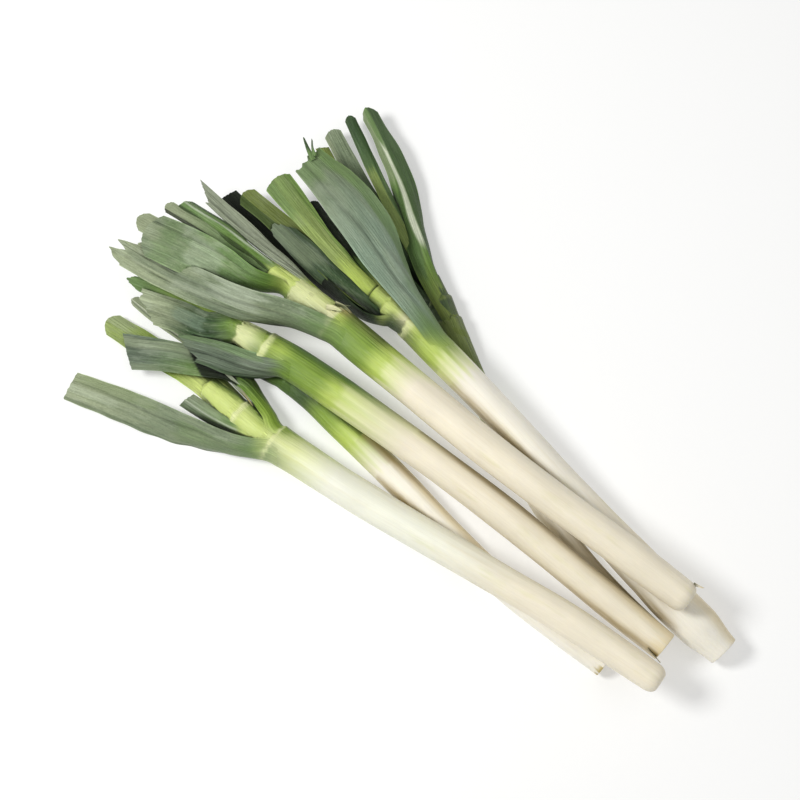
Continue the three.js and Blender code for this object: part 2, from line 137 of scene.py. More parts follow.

# Each stalk's axis runs from the root end to the crown, as [x, y, z, radius], and split,
# collars and leaves are those of the CAD source. tint gives the colour at each x along the
# stalk, and shade the one on its -Y side, which is partly the sheaths' own darker green and
# partly painted shade on the side turned from the light. rims says of each collar its colour,
# how long a band of it shows and how ragged its edge is. A leaf's widths are evenly spaced
# along it. Its tint gives the colour at the base, in the middle and at the tip, and turn the
# shares of its length where the base ends and the middle starts. bloom is how dusty its wax
# is, ribs how strongly its veins stand out, and crease the places across it, from -1 to 1,
# of lines pressed into it. An inner leaf comes out of the crown, within the outer sheaths.
# patches are (from, to across it, from, to along it, colour, strength), and one with crisp
# ends also says how far they slant along the leaf from its middle to its edge. Near-black
# patches are painted shade, and so are some dark ones on the side of a leaf turned from the
# light; pale strips along a fold are painted highlights.
STALKS = {
    "a": {
        "axis": [
            [-238, 38, 40.2, 9.1], [-212, 40, 38, 9.6], [-162, 44.5, 33.2, 10.2],
            [-112, 52, 28.3, 10.6], [-61, 59.5, 23.4, 10.8], [-9, 66.5, 17.6, 11.3],
            [18, 69, 14.8, 12], [49, 72, 12.8, 12.8], [79, 72, 12.2, 11.8], [104, 72, 12, 9],
        ],
        "root": "round", "split": 26, "collars": [44, 74],
        "rims": [("pale", 2, 0.9), ("pale", 4, 0.8)],
        "tint": [(-240, "cream"), (-150, "cream"), (-60, "milk"), (4, "milk"), (30, "pale"),
                 (43, "pale"), (56, "fresh"), (70, "pale"), (95, "fresh")],
        "shade": [(-240, "cream"), (10, "milk"), (30, "pale"), (43, "lime"), (50, "grass"),
                  (70, "green"), (100, "green")],
        "leaves": [
            {"from": 38, "path": [[64, 95, 12], [93, 104, 10], [133, 115, 8], [172, 128, 6]],
             "roll": [75, 15], "width": [30, 24, 20], "curl": [150, 35], "tip": {"slant": 1.5},
             "tint": ["fern", "grey_green", "sage"], "turn": (0.08, 0.3), "bloom": 0.8,
             "ribs": 0.45, "crease": [-0.3],
             "patches": [(-1.1, -0.35, 0.62, 0.98, "moss", 0.3), (0.78, 1.1, 0.15, 1.1, "deep", 0.5),
                         (-0.6, 0.6, 0.12, 0.5, "green", 0.3),
                         (-0.2, 0.35, 0.78, 1.1, "silver", 0.3)]},
            {"from": 50, "path": [[78, 85, 19], [106, 88, 17]], "roll": [40, 15],
             "width": [24, 17, 13], "curl": [120, 30], "fold": 30, "tip": {"slant": 2},
             "tint": ["fresh", "fern", "grey_green"], "turn": (0.25, 0.5), "bloom": 0.5,
             # painted highlight: the silver strip along the fold
             "ribs": 0.9, "patches": [(-0.06, 0.1, 0.4, 1.1, "silver", 0.7),
                                      (0.3, 1.1, 0.45, 1.1, "deep", 0.6)]},
            {"from": 44,
             "path": [[70, 54, 15.5], [84, 51.5, 18], [97, 54.5, 18.5], [113, 62.5, 18],
                      [135, 74, 17], [157, 88, 14]],
             "roll": [-72, 0], "width": [26, 18, 24], "curl": [150, 25], "tip": {"slant": -5},
             "tint": ["grass", "green", "slate"], "bloom": 0.6, "ribs": 1.0,
             "crease": [-0.3],
             # painted shadow: the near-black band across the blade, with crisp slanted ends, where c's
             # first leaf shades it
             "patches": [(-1.1, 1.1, 0.45, 0.66, "painted_shade_black", 0.97, 0.06),
                         (-0.9, -0.3, 0.74, 1.1, "sage", 0.4)]},
            {"from": 74, "path": [[112, 71, 10], [149, 76, 8], [183, 80, 7]], "roll": [20, 5],
             "width": [32, 20, 16], "curl": [190, 60], "tip": {"round": 5},
             "tint": ["fresh", "grass", "bright"], "turn": (0.35, 0.6), "bloom": 0.3,
             "ribs": 0.8, "patches": [(-1.1, 0.0, 0.85, 1.1, "sage", 0.5)]},
        ],
    },
    "b": {
        "axis": [
            [-206, 47, 7.6, 7.8], [-171, 48, 8, 8.2], [-126, 48.5, 8.4, 8.6],
            [-78, 45, 8.7, 8.9], [-37, 40.4, 9.1, 9.3], [-10, 37.5, 9.2, 9.4],
            [19, 35.5, 9.1, 9.3], [49, 33.5, 8.9, 9], [76, 35, 8.4, 8.4], [103, 39, 8.2, 7],
        ],
        "root": "cut", "split": 4, "collars": [66, 84],
        "rims": [("green", 2, 0.9), ("green", 2, 0.9)],
        # painted shadow: the neck turns deep green past x 30, where c lies over it and shades it
        "tint": [(-206, "straw"), (-203, "ivory"), (-60, "ivory"), (-22, "ivory"), (-8, "pale"),
                 (10, "lime"), (30, "grass"), (52, "deep"), (100, "deep")],
        "shade": [(-210, "buff"), (-30, "buff"), (-4, "pale"), (14, "grass"), (34, "green"),
                  (60, "deep"), (100, "deep")],
        "leaves": [
            {"from": 62, "path": [[123, 55, 9], [147, 58, 8], [180, 59, 8]], "roll": [60, 20],
             "width": [22, 13, 10], "curl": [150, 40], "fold": 35, "tip": {"round": 2},
             "tint": ["green", "sage", "sage"], "bloom": 0.4, "ribs": 1.6,
             # painted highlight: the pale strip along the fold
             "patches": [(-0.05, 0.12, 0.5, 1.1, "white_edge_and_glint", 0.6),
                         (0.15, 0.5, 0.4, 1.1, "deep", 0.5)]},
            {"from": 80, "path": [[126, 38, 12], [150, 38, 12]], "roll": [-20, 0],
             "width": [22, 16, 12], "curl": [170, 40], "tip": {"round": 3},
             "tint": ["green", "fern", "sage"], "bloom": 0.3, "ribs": 0.6},
        ],
    },
    "c": {
        "axis": [
            [-227, 17, 26.5, 9.4], [-175, 17, 26.9, 10.3], [-99, 16.5, 27.5, 11.1],
            [-47, 18.4, 27.5, 10.9], [6, 22, 27.5, 11.3], [32, 24, 27.5, 11.6],
            [63, 27, 27.5, 11.5], [90, 31, 27.3, 10.8], [116, 34, 26.5, 8.5],
        ],
        "root": "cut", "split": 26, "collars": [86, 106],
        "rims": [("pale", 5, 1.0), ("pale", 18, 1.2)],
        "tint": [(-230, "buff"), (-214, "cream"), (-120, "cream"), (8, "cream"), (20, "pale"),
                 (32, "lime"), (46, "grass"), (64, "grass"), (78, "lime"), (86, "fresh"),
                 (90, "pale"), (107, "collar"), (110, "fresh"), (120, "grass")],
        "shade": [(-230, "buff"), (-60, "cream"), (0, "pale"), (14, "lime"), (28, "green"),
                  (66, "green"), (84, "grass"), (92, "fresh"), (120, "grass")],
        "leaves": [
            {"from": 66, "path": [[85, 47, 29], [109, 55, 27.5], [126, 62, 25]],
             "roll": [70, 10], "width": [28, 20, 16], "curl": [150, 30],
             "tip": {"teeth": [9, 8, 4, 2, -3, -9, -6]},
             "tint": ["green", "slate", "slate"], "turn": (0.1, 0.3), "bloom": 0.3,
             "ribs": 1.8, "crease": [0.15],
             "patches": [(0.4, 1.1, 0.93, 1.1, "white_edge_and_glint", 0.85),
                         (0.75, 1.1, 0.3, 0.95, "deep", 0.6),
                         (-1.1, -0.5, 0.3, 1.1, "fern", 0.5)]},
            {"from": 84, "path": [[135, 37, 25.5], [160, 44, 25], [185, 52, 23.5]],
             "roll": [-45, 0], "width": [24, 14, 10], "curl": [150, 40],
             "tip": {"teeth": [-7, -3, 0, 2, 0, -4, -8]},
             "tint": ["grass", "grass", "fern"], "bloom": 0.2, "ribs": 0.9},
            {"from": 108, "path": [[126, 46, 28.5], [145, 51.5, 28], [163, 58.5, 27]],
             "roll": [15, 5], "width": [27, 21, 21], "curl": [170, 25],
             "tip": {"teeth": [8, 6, 7, 2, -1, -5, -8]},
             "tint": ["green", "bottle", "sage"], "turn": (0.15, 0.4), "bloom": 0.7,
             "ribs": 1.1, "crease": [0.3],
             "patches": [(-0.5, 0.3, 0.45, 0.75, "glaucous", 0.45)]},
        ],
    },
    "d": {
        "axis": [
            [-221, -12, 43.7, 10], [-167, -9.8, 43.9, 10.9], [-101, -7.1, 42.6, 11.3],
            [-56, -6.5, 40.2, 11.6], [-10, -7.2, 37.8, 11.7], [38, -8, 35.8, 12.2],
            [74, -9, 35.2, 11.5], [117, -8, 36, 8.5],
        ],
        "root": "round", "split": 14, "collars": [65, 95],
        "rims": [("collar", 5, 2.4), ("pale", 28, 0.8)],
        "tint": [(-225, "cream"), (-120, "cream"), (-4, "cream"), (10, "pale"), (20, "lime"),
                 (34, "grass"), (50, "grass"), (60, "lime"), (67, "collar"), (94, "collar"),
                 (97, "fresh"), (112, "fresh")],
        "shade": [(-225, "cream"), (-20, "cream"), (6, "pale"), (16, "lime"), (30, "olive"),
                  (52, "olive"), (64, "straw"), (70, "collar"), (94, "collar"), (98, "lime"),
                  (112, "fresh")],
        "leaves": [
            {"from": 50,
             "path": [[83, 10, 43], [111, 22, 45], [141, 30, 43], [170, 37, 40], [203, 42, 37]],
             "roll": [65, 10], "width": [30, 23, 21], "curl": [150, 30],
             "tip": {"teeth": [-14, -12, 2, -8, 4, -2, -9]},
             "tint": ["fern", "grey_green", "sage"], "turn": (0.08, 0.3), "bloom": 0.9,
             "ribs": 1.0, "crease": [-0.15, 0.45],
             "patches": [(-1.1, 0.25, 0.38, 0.58, "silver", 0.5),
                         (-0.25, 0.25, 0.55, 0.95, "slate", 0.4),
                         (0.5, 1.1, 0.1, 0.6, "slate", 0.4)]},
            {"from": 97,
             "path": [[118, 9, 45.5], [145, 13.5, 46], [170, 19, 46], [193, 25, 44]],
             "roll": [80, 5], "width": [24, 25, 28, 31, 29], "curl": [130, 30],
             "tip": {"round": 7},
             "tint": ["green", "fern", "grey_green"], "turn": (0.2, 0.4), "bloom": 0.8,
             "ribs": 0.7, "crease": [-0.6],
             "patches": [(-0.6, 0.5, 0.5, 0.72, "silver", 0.4),
                         (-0.9, 1.1, 0.8, 0.92, "fern", 0.45),
                         (-0.6, 0.2, 0.9, 1.1, "sage", 0.5)]},
            {"from": 97, "inner": True, "path": [[130, 3, 34.5], [167, 12, 34], [206, 19, 33.5]],
             "roll": [10, 0], "width": [16, 16, 14], "curl": [150, 40], "tip": {"round": 5},
             "tint": ["lime", "fern", "sage"], "bloom": 0.5, "ribs": 0.7},
            {"from": 96, "inner": True, "path": [[138, -5, 37.5], [166, -3, 37], [197, 1, 36]],
             "roll": [-25, -10], "width": [14, 10, 9], "curl": [150, 50], "tip": {"round": 3},
             "tint": ["fresh", "fern", "sage"], "turn": (0.2, 0.3), "bloom": 0.5,
             # painted shade: the near-black half of the blade stands for the dark gap beside it
             "ribs": 0.9, "patches": [(0.5, 1.1, 0.3, 1.1, "painted_shade_black", 0.8)]},
            {"from": 84, "path": [[122, -13, 39], [154, -12, 38], [189, -9, 36]],
             "roll": [-45, -20], "width": [24, 15, 15], "curl": [150, 30], "fold": 30,
             "tip": {"slant": 3},
             "tint": ["fresh", "green", "fern"], "turn": (0.28, 0.4), "bloom": 0.4,
             # painted highlight: the silver strip along the fold; painted shade: the deep far half and
             # the near-black other edge
             "ribs": 1.0, "patches": [(-0.04, 0.14, 0.4, 1.1, "silver", 0.75),
                                      (-1.1, -0.45, 0.38, 1.1, "deep", 0.75),
                                      (0.55, 1.1, 0.38, 1.1, "painted_shade_black", 0.7)]},
            {"from": 70, "path": [[108, -21, 33], [149, -21, 31], [187, -23, 30]],
             "roll": [-80, -8], "width": [20, 12, 10], "curl": [140, 40],
             "tip": {"teeth": [7, 4, 1, -2, -5, -9, -7]},
             "tint": ["lime", "dry", "dry"], "turn": (0.2, 0.32), "bloom": 0.35, "ribs": 1.0,
             "crease": [0.2]},
        ],
    },
    "e": {
        "axis": [
            [-257, -7, 12, 10.6], [-233, -9, 13.9, 14.1], [-211, -10.8, 15.8, 14.2],
            [-189, -13.3, 17.4, 13.3], [-144, -18.9, 20.9, 12], [-98, -25.7, 24.6, 11],
            [-53, -32.1, 27, 10.7], [-1, -38, 29, 11], [30, -41, 29.6, 10.6],
            [59, -42, 30, 8.6],
        ],
        "root": "cut", "split": -10, "collars": [25, 44],
        "rims": [("pale", 6, 1.1), ("fresh", 8, 0.9)],
        "tint": [(-258, "ivory"), (-60, "ivory"), (-30, "ivory"), (-14, "pale"), (0, "lime"),
                 (14, "lime"), (22, "fresh"), (28, "collar"), (38, "fresh"), (44, "fresh"),
                 (60, "lime")],
        "shade": [(-258, "buff"), (-60, "ivory"), (-30, "ivory"), (-14, "pale"), (0, "lime"),
                  (14, "grass"), (24, "grass"), (60, "lime")],
        "leaves": [
            {"from": 0,
             "path": [[24, -54, 38], [55, -62.5, 41], [90, -73, 41], [118, -79, 40], [147, -82, 38]],
             "roll": [-60, -5], "width": [30, 33, 37, 35, 24], "curl": [150, 20], "fold": 10,
             "tip": {"teeth": [2, 0, 1, 0, -1, -1, -1]},
             "tint": ["fern", "glaucous", "grey_green"], "turn": (0.1, 0.3), "bloom": 0.4,
             "ribs": 0.4, "crease": [0.35],
             "patches": [(0.3, 0.5, 0.3, 0.75, "slate", 0.5), (-1.1, -0.5, 0.2, 1.1, "green", 0.6),
                         (-0.5, 0.15, 0.12, 0.36, "fern", 0.4),
                         (-1.1, 0.9, 0.9, 1.1, "fern", 0.6)]},
            {"from": 22, "path": [[72, -32.5, 22], [105, -35.5, 20], [139, -38.5, 19]],
             "roll": [85, 10], "width": [28, 18, 17.5, 17, 13], "curl": [150, 30],
             "tip": {"teeth": [-12, -8, -4, 0, 1, -1, -4]},
             "tint": ["deep", "bottle", "slate"], "turn": (0.2, 0.5), "bloom": 0.5,
             "ribs": 0.7, "patches": [(-1.1, -0.7, 0.4, 1.1, "deep", 0.7),
                                      (-0.5, 0.8, 0.7, 1.1, "grey_green", 0.6)]},
            {"from": 50, "inner": True,
             "path": [[68, -42, 35], [97, -46, 36], [126, -52, 36], [155, -58.5, 35]],
             "roll": [10, 0], "width": [13, 11, 12, 17, 20], "curl": [150, 40],
             "tip": {"round": 3},
             "tint": ["lime", "bright", "moss"], "turn": (0.25, 0.45), "bloom": 0.3,
             "ribs": 1.2, "patches": [(-1.1, -0.6, 0.3, 1.1, "green", 0.6),
                                      (0.3, 1.1, 0.75, 1.1, "fern", 0.5)]},
            {"from": 46, "inner": True, "path": [[64, -48.5, 31], [97, -55, 30], [128, -63, 29]],
             "roll": [-50, -20], "width": [14, 12, 12, 12, 8], "curl": [150, 50],
             "tip": {"round": 2},
             "tint": ["fresh", "green", "bottle"], "turn": (0.2, 0.35), "bloom": 0.1,
             # painted shade: past its middle the blade is near black, standing for deep shade
             "ribs": 1.1, "patches": [(-1.1, 1.1, 0.48, 1.1, "painted_shade_black", 0.95)]},
            {"from": 28,
             "path": [[52, -25.5, 18], [82, -24.5, 13], [116, -28, 11], [179, -35, 10]],
             "roll": [110, 15], "width": [26, 24, 20, 15, 13], "curl": [150, 40],
             "tip": {"slant": 2},
             # painted shade: this blade is near black, standing for the deep shade of the gap it fills
             "tint": ["deep", "painted_shade_black", "painted_shade_black"], "bloom": 0.0, "ribs": 0.4},
            {"from": 36, "path": [[66, -38, 17], [118, -40.5, 15], [170, -41.5, 15]],
             "roll": [170, 180], "width": [24, 17, 14], "curl": [150, 40],
             "tip": {"round": 4},
             "tint": ["deep", "olive", "olive"], "bloom": 0.3, "ribs": 0.7,
             "patches": [(-1.1, -0.2, 0.4, 1.1, "deep", 0.7)]},
        ],
    },
    "f": {
        "axis": [
            [-216, 10.5, 7, 7], [-185, 8.5, 7.2, 7.3], [-149, 3, 7.2, 7.4],
            [-106, -10, 7.3, 7.5], [-67, -25, 7.4, 7.6], [-31, -41, 7.8, 8.2],
            [-2, -55, 8.8, 9.2], [20, -67, 10, 9.4], [41, -79, 12, 7.5],
        ],
        "root": "cut", "split": -48, "collars": [10, 24],
        "rims": [("olive", 2, 1.0), ("olive", 2, 1.0)],
        "tint": [(-220, "cream"), (-75, "ivory"), (-55, "pale"), (-38, "olive"), (45, "olive")],
        "shade": [(-220, "cream"), (-75, "ivory"), (-58, "pale"), (-44, "lime"), (-20, "olive"),
                  (45, "green")],
        "leaves": [
            {"from": 4, "path": [[39, -82, 16], [65, -97, 18], [105, -120, 19], [146, -138, 20]],
             "roll": [-60, 14], "width": [26, 25, 15], "curl": [150, 30], "fold": 35,
             "tip": {"round": 5},
             "tint": ["olive", "green", "fern"], "bloom": 0.3, "ribs": 1.1,
             # painted shade: the bottle-green half on one side of the fold; painted highlight: the pale
             # strip beside the fold
             "patches": [(-1.1, -0.02, 0.2, 1.1, "bottle", 0.75),
                         (0.02, 0.36, 0.42, 0.84, "white_edge_and_glint", 0.8),
                         (0.36, 1.1, 0.3, 0.66, "bottle", 0.6),
                         (0.36, 1.1, 0.7, 1.1, "sage", 0.5)]},
            {"from": 16, "inner": True, "path": [[63, -87, 14], [99, -102, 15], [152, -128, 16]],
             "roll": [-10, -5], "width": [15, 10, 8], "curl": [150, 50], "tip": {"round": 3},
             "tint": ["deep", "fern", "bottle"], "turn": (0.14, 0.34), "bloom": 0.2, "ribs": 0.9,
             "patches": [(-1.1, -0.35, 0.2, 1.1, "deep", 0.55),
                         (-0.3, 1.1, 0.36, 0.74, "bright", 0.8)]},
            {"from": 12, "inner": True, "path": [[64, -79, 11], [111, -95, 12], [155, -113, 14]],
             "roll": [40, 10], "width": [22, 14, 12], "curl": [150, 40], "tip": {"round": 3},
             "tint": ["deep", "bottle", "grey_green"], "bloom": 0.4, "ribs": 0.8,
             "patches": [(0.55, 1.1, 0.5, 1.1, "sage", 0.5)]},
            {"from": 20, "path": [[81, -72, 8], [119, -86, 8], [153, -101, 9]],
             "roll": [100, 20], "width": [20, 11, 9], "curl": [140, 40], "tip": {"slant": 2},
             # painted shade: this blade is near black, standing for the deep shade of the gap it fills
             "tint": ["deep", "painted_shade_black", "olive"], "bloom": 0.1, "ribs": 0.5},
        ],
    },
}

# What a leaf has unless it says otherwise
USUAL_LEAF = {"thick": BLADE_THICK, "fold": 0, "turn": (0.12, 0.42), "crease": [], "patches": [],
              "inner": False}

# Torn scraps of dry skin and leaf: the stalk and the part that each hangs on, then width,
# roll, tint and path as for a leaf. The path starts where it hangs.
SCRAPS = [
    ("a", "greens", [1.6, 3.6, 1.2], [-25, -40], ["dry", "dry", "straw"],
     [[101, 58, 20.6], [93, 59, 21], [86, 60, 20.6], [78, 61.8, 19.6], [69, 64, 20.1]]),
    ("d", "greens", [3.4, 2.8, 1], [-20, -25], ["collar", "collar", "pale"],
     [[70, -11, 47], [66, -13.4, 47.2], [61, -15.2, 46.6]]),
    ("d", "greens", [3.4, 2.6, 0.8], [-55, -60], ["collar", "collar", "straw"],
     [[68, -17, 44], [62, -19, 43.6], [56, -18.9, 44]]),
    ("d", "greens", [2.4, 1.8, 0.5], [-60, -60], ["collar", "collar", "dry"],
     [[65, -18.4, 42.6], [61.5, -20.4, 43.2], [59.5, -21.8, 44.4]]),
    ("e", "greens", [4.4, 2.4, 0.5], [-5, 0], ["fern", "bottle", "deep"],
     [[143, -83, 38.9], [151, -86.5, 40], [157.5, -90, 41.2]]),
    ("e", "greens", [3, 1.7, 0.5], [-10, -30], ["fern", "bottle", "deep"],
     [[144, -85.5, 39.2], [149, -89, 40.3], [152.5, -92.5, 41.6]]),
    ("d", "shaft", [3, 2, 0.5], [-50, -40], ["cream", "cream", "buff"],
     [[-216, -20.6, 47.6], [-219.5, -21.6, 48], [-222.5, -22.8, 47.8]]),
    ("c", "shaft", [5, 4, 1.5], [60, 70], ["buff", "buff", "straw"],
     [[-219, 24.6, 32.4], [-225, 25.6, 32.2], [-230.5, 26.6, 31]]),
]
USUAL_SCRAP = {**USUAL_LEAF, "thick": SCRAP_THICK, "tip": {"round": 1}, "bloom": 0.3, "ribs": 1.0,
               "curl": [40, 50], "turn": (0.3, 0.6)}


# Small maths helpers

def mix(a, b, share):
    return a + (b - a) * share


def smooth(x, low, high):
    share = np.clip((x - low) / (high - low), 0, 1)
    return share * share * (3 - 2 * share)


def unit(v):
    return v / np.linalg.norm(v, axis=-1, keepdims=True)


def linear(colour):
    """A named colour, as the linear values that shaders use."""
    c = np.array(COLOURS[colour]) / 255
    return np.where(c <= 0.04045, c / 12.92, ((c + 0.055) / 1.055) ** 2.4)


class Waves:
    """Smooth seeded relief between about -1 and 1: a sum of sine waves of two variables."""

    def __init__(self, seed, long_a, long_b, count=7):
        draw = np.random.default_rng(seed)
        self.ka = 2 * math.pi / (long_a * draw.uniform(0.6, 1.8, count))
        self.kb = 2 * math.pi / (long_b * draw.uniform(0.6, 1.8, count))
        self.kb *= draw.choice([-1, 1], count)
        self.phase = draw.uniform(0, 2 * math.pi, count)

    def __call__(self, a, b):
        a, b = np.broadcast_arrays(a, b)
        parts = np.sin(a[..., None] * self.ka + b[..., None] * self.kb + self.phase)
        return parts.sum(-1) / math.sqrt(len(self.ka)) * 0.8


# Curves, with the same form as those of the CAD solids

class Curve:
    """A centripetal Catmull-Rom curve through points in millimetres."""

    def __init__(self, points):
        p = np.array(points, float)
        self.knots = np.vstack([2 * p[0] - p[1], p, 2 * p[-1] - p[-2]])
        self.spans = len(p) - 1
        self.sample = np.linspace(0, 1, 801)
        steps = np.linalg.norm(np.diff(self.point(self.sample), axis=0), axis=1)
        self.run = np.concatenate([[0], np.cumsum(steps)])
        self.length = self.run[-1]

    def point(self, t):
        place = np.clip(np.asarray(t, float), 0, 1) * self.spans
        i = np.minimum(place.astype(int), self.spans - 1)
        w = (place - i)[..., None]
        p0, p1, p2, p3 = (self.knots[i + k] for k in range(4))
        d0, d1, d2 = (
            np.sqrt(np.linalg.norm(b - a, axis=-1, keepdims=True))
            for a, b in ((p0, p1), (p1, p2), (p2, p3))
        )
        m1 = ((p1 - p0) / d0 - (p2 - p0) / (d0 + d1) + (p2 - p1) / d1) * d1
        m2 = ((p2 - p1) / d1 - (p3 - p1) / (d1 + d2) + (p3 - p2) / d2) * d1
        cubic = 2 * p1 - 2 * p2 + m1 + m2
        square = -3 * p1 + 3 * p2 - 2 * m1 - m2
        return p1 + w * (m1 + w * (square + w * cubic))

    def tangent(self, t):
        step = 1e-4
        t = np.asarray(t, float)
        return unit(self.point(np.clip(t + step, 0, 1)) - self.point(np.clip(t - step, 0, 1)))

    def at_share(self, v):
        """The curve's own parameter at a share v of its length."""
        return np.interp(np.asarray(v) * self.length, self.run, self.sample)

    def frame(self, t):
        """Points on the curve with the directions along, to the side and up across it."""
        along = self.tangent(t)
        up = unit(UP - along * (along @ UP)[..., None])
        return self.point(t), along, np.cross(up, along), up


class Axis(Curve):
    """The axis of a stalk, with its radius."""

    def __init__(self, points):
        rows = np.array(points, float)
        super().__init__(rows[:, :3] - MIDDLE)
        self.radii = rows[:, 3]

    def at_x(self, x):
        return np.interp(np.asarray(x) - MIDDLE[0], self.point(self.sample)[:, 0], self.sample)

    def radius(self, t):
        place = np.clip(t, 0, 1) * self.spans
        i = np.minimum(place.astype(int), self.spans - 1)
        w = place - i
        return mix(self.radii[i], self.radii[i + 1], w * w * (3 - 2 * w))


# Meshes

GRIDS = []  # each mesh with its number of layers, rows and columns


def grid_faces(rows, columns, wrap=False, flip=False):
    """Quads over a grid of rows times columns points."""
    across = columns if wrap else columns - 1
    j, i = np.meshgrid(np.arange(rows - 1), np.arange(across), indexing="ij")
    a = j * columns + i
    b = j * columns + (i + 1) % columns
    quads = np.stack([a, b, b + columns, a + columns], -1).reshape(-1, 4)
    return quads[:, ::-1] if flip else quads


def make_piece(name, points, shape, faces, material, attributes, sharp=35):
    """A smooth-shaded mesh from layers of rows of points, with its named values per point."""
    mesh = bpy.data.meshes.new(name)
    kept = np.clip(points * MM, *(np.array(corner) for corner in cad_box))
    mesh.from_pydata(kept.tolist(), [], [list(map(int, f)) for f in faces])
    for key, values in attributes.items():
        values = np.asarray(values, np.float32)
        if values.ndim == 1:
            mesh.attributes.new(key, "FLOAT", "POINT").data.foreach_set("value", values)
        elif key == "tint":
            four = np.hstack([values, np.ones((len(values), 1), np.float32)])
            mesh.attributes.new(key, "FLOAT_COLOR", "POINT").data.foreach_set("color", four.ravel())
        else:
            mesh.attributes.new(key, "FLOAT_VECTOR", "POINT").data.foreach_set("vector", values.ravel())
    mesh.shade_smooth()
    mesh.set_sharp_from_angle(angle=math.radians(sharp))
    mesh.materials.append(material)
    piece = bpy.data.objects.new(name, mesh)
    bpy.context.collection.objects.link(piece)
    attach(piece, "root")
    GRIDS.append((mesh, shape))
    return piece


def spread(size, places):
    """The matrix that spreads values at some places of a row linearly over all of it."""
    return np.array([np.interp(np.arange(size), places, row) for row in np.eye(len(places))]).T


def sky_rays(count):
    """Directions over a hemisphere round +Z, denser near its top."""
    k = np.arange(count) + 0.5
    rise = np.sqrt(1 - k / count)
    turn = k * math.pi * (1 + math.sqrt(5))
    flat = np.sqrt(1 - rise * rise)
    return np.stack([flat * np.cos(turn), flat * np.sin(turn), rise], -1)


def crowding(tree, place, normal, clear, rays):
    """How much of the view from a place is closed by surfaces near it, from 0 to 1."""
    side = normal.orthogonal().normalized()
    other = normal.cross(side)
    start = place + normal * clear
    closed = 0.0
    for a, b, c in rays:
        distance = tree.ray_cast(start, side * a + other * b + normal * c, CREVICE_REACH)[3]
        if distance is not None:
            closed += 1 - (distance / CREVICE_REACH) ** 2
    return closed / len(rays)


def picked(size):
    """The rows or columns of a grid at which crowding is worked out."""
    return np.unique(np.linspace(0, size - 1, max(2, size // CREVICE_GRID)).round().astype(int))


def paint_crevice_shade():
    """Paints shade into the colours that meshes carry where surfaces crowd them, as shade falls in a
    real heap.
    """
    corners, faces = [], []
    for mesh, _ in GRIDS:
        first = len(corners)
        corners += [v.co[:] for v in mesh.vertices]
        faces += [[first + i for i in p.vertices] for p in mesh.polygons]
    tree = BVHTree.FromPolygons(corners, faces)
    rays = sky_rays(CREVICE_RAYS)
    for mesh, (layers, rows, columns) in GRIDS:
        clear = BLADE_CLEAR if layers == 2 else STALK_CLEAR
        down, over = picked(rows), picked(columns)
        closed = np.zeros((layers, len(down), len(over)))
        for layer in range(layers):
            for j, row in enumerate(down):
                for i, column in enumerate(over):
                    v = mesh.vertices[int((layer * rows + row) * columns + column)]
                    closed[layer, j, i] = crowding(tree, v.co, v.normal, clear, rays)
        full = spread(rows, down) @ closed @ spread(columns, over).T
        low, high, left = CREVICE_SHADES[mesh.materials[0].name]
        depth = smooth(full, low, high).reshape(-1, 1)
        data = mesh.attributes["tint"].data
        four = np.zeros(len(data) * 4, np.float32)
        data.foreach_get("color", four)
        four = four.reshape(-1, 4)
        # painted shade: crowded places keep only part of their colour
        four[:, :3] *= 1 - depth * (1 - np.array(left))
        data.foreach_set("color", four.ravel())


def stops(x, pairs):
    """Colours along x, mixed smoothly between named stops."""
    places = [p for p, _ in pairs]
    values = np.array([linear(c) for _, c in pairs])
    i = np.clip(np.searchsorted(places, x) - 1, 0, len(places) - 2)
    low = np.array(places)[i]
    high = np.array(places)[i + 1]
    share = smooth(x, low, high)[..., None]
    return mix(values[i], values[i + 1], share)


# Materials

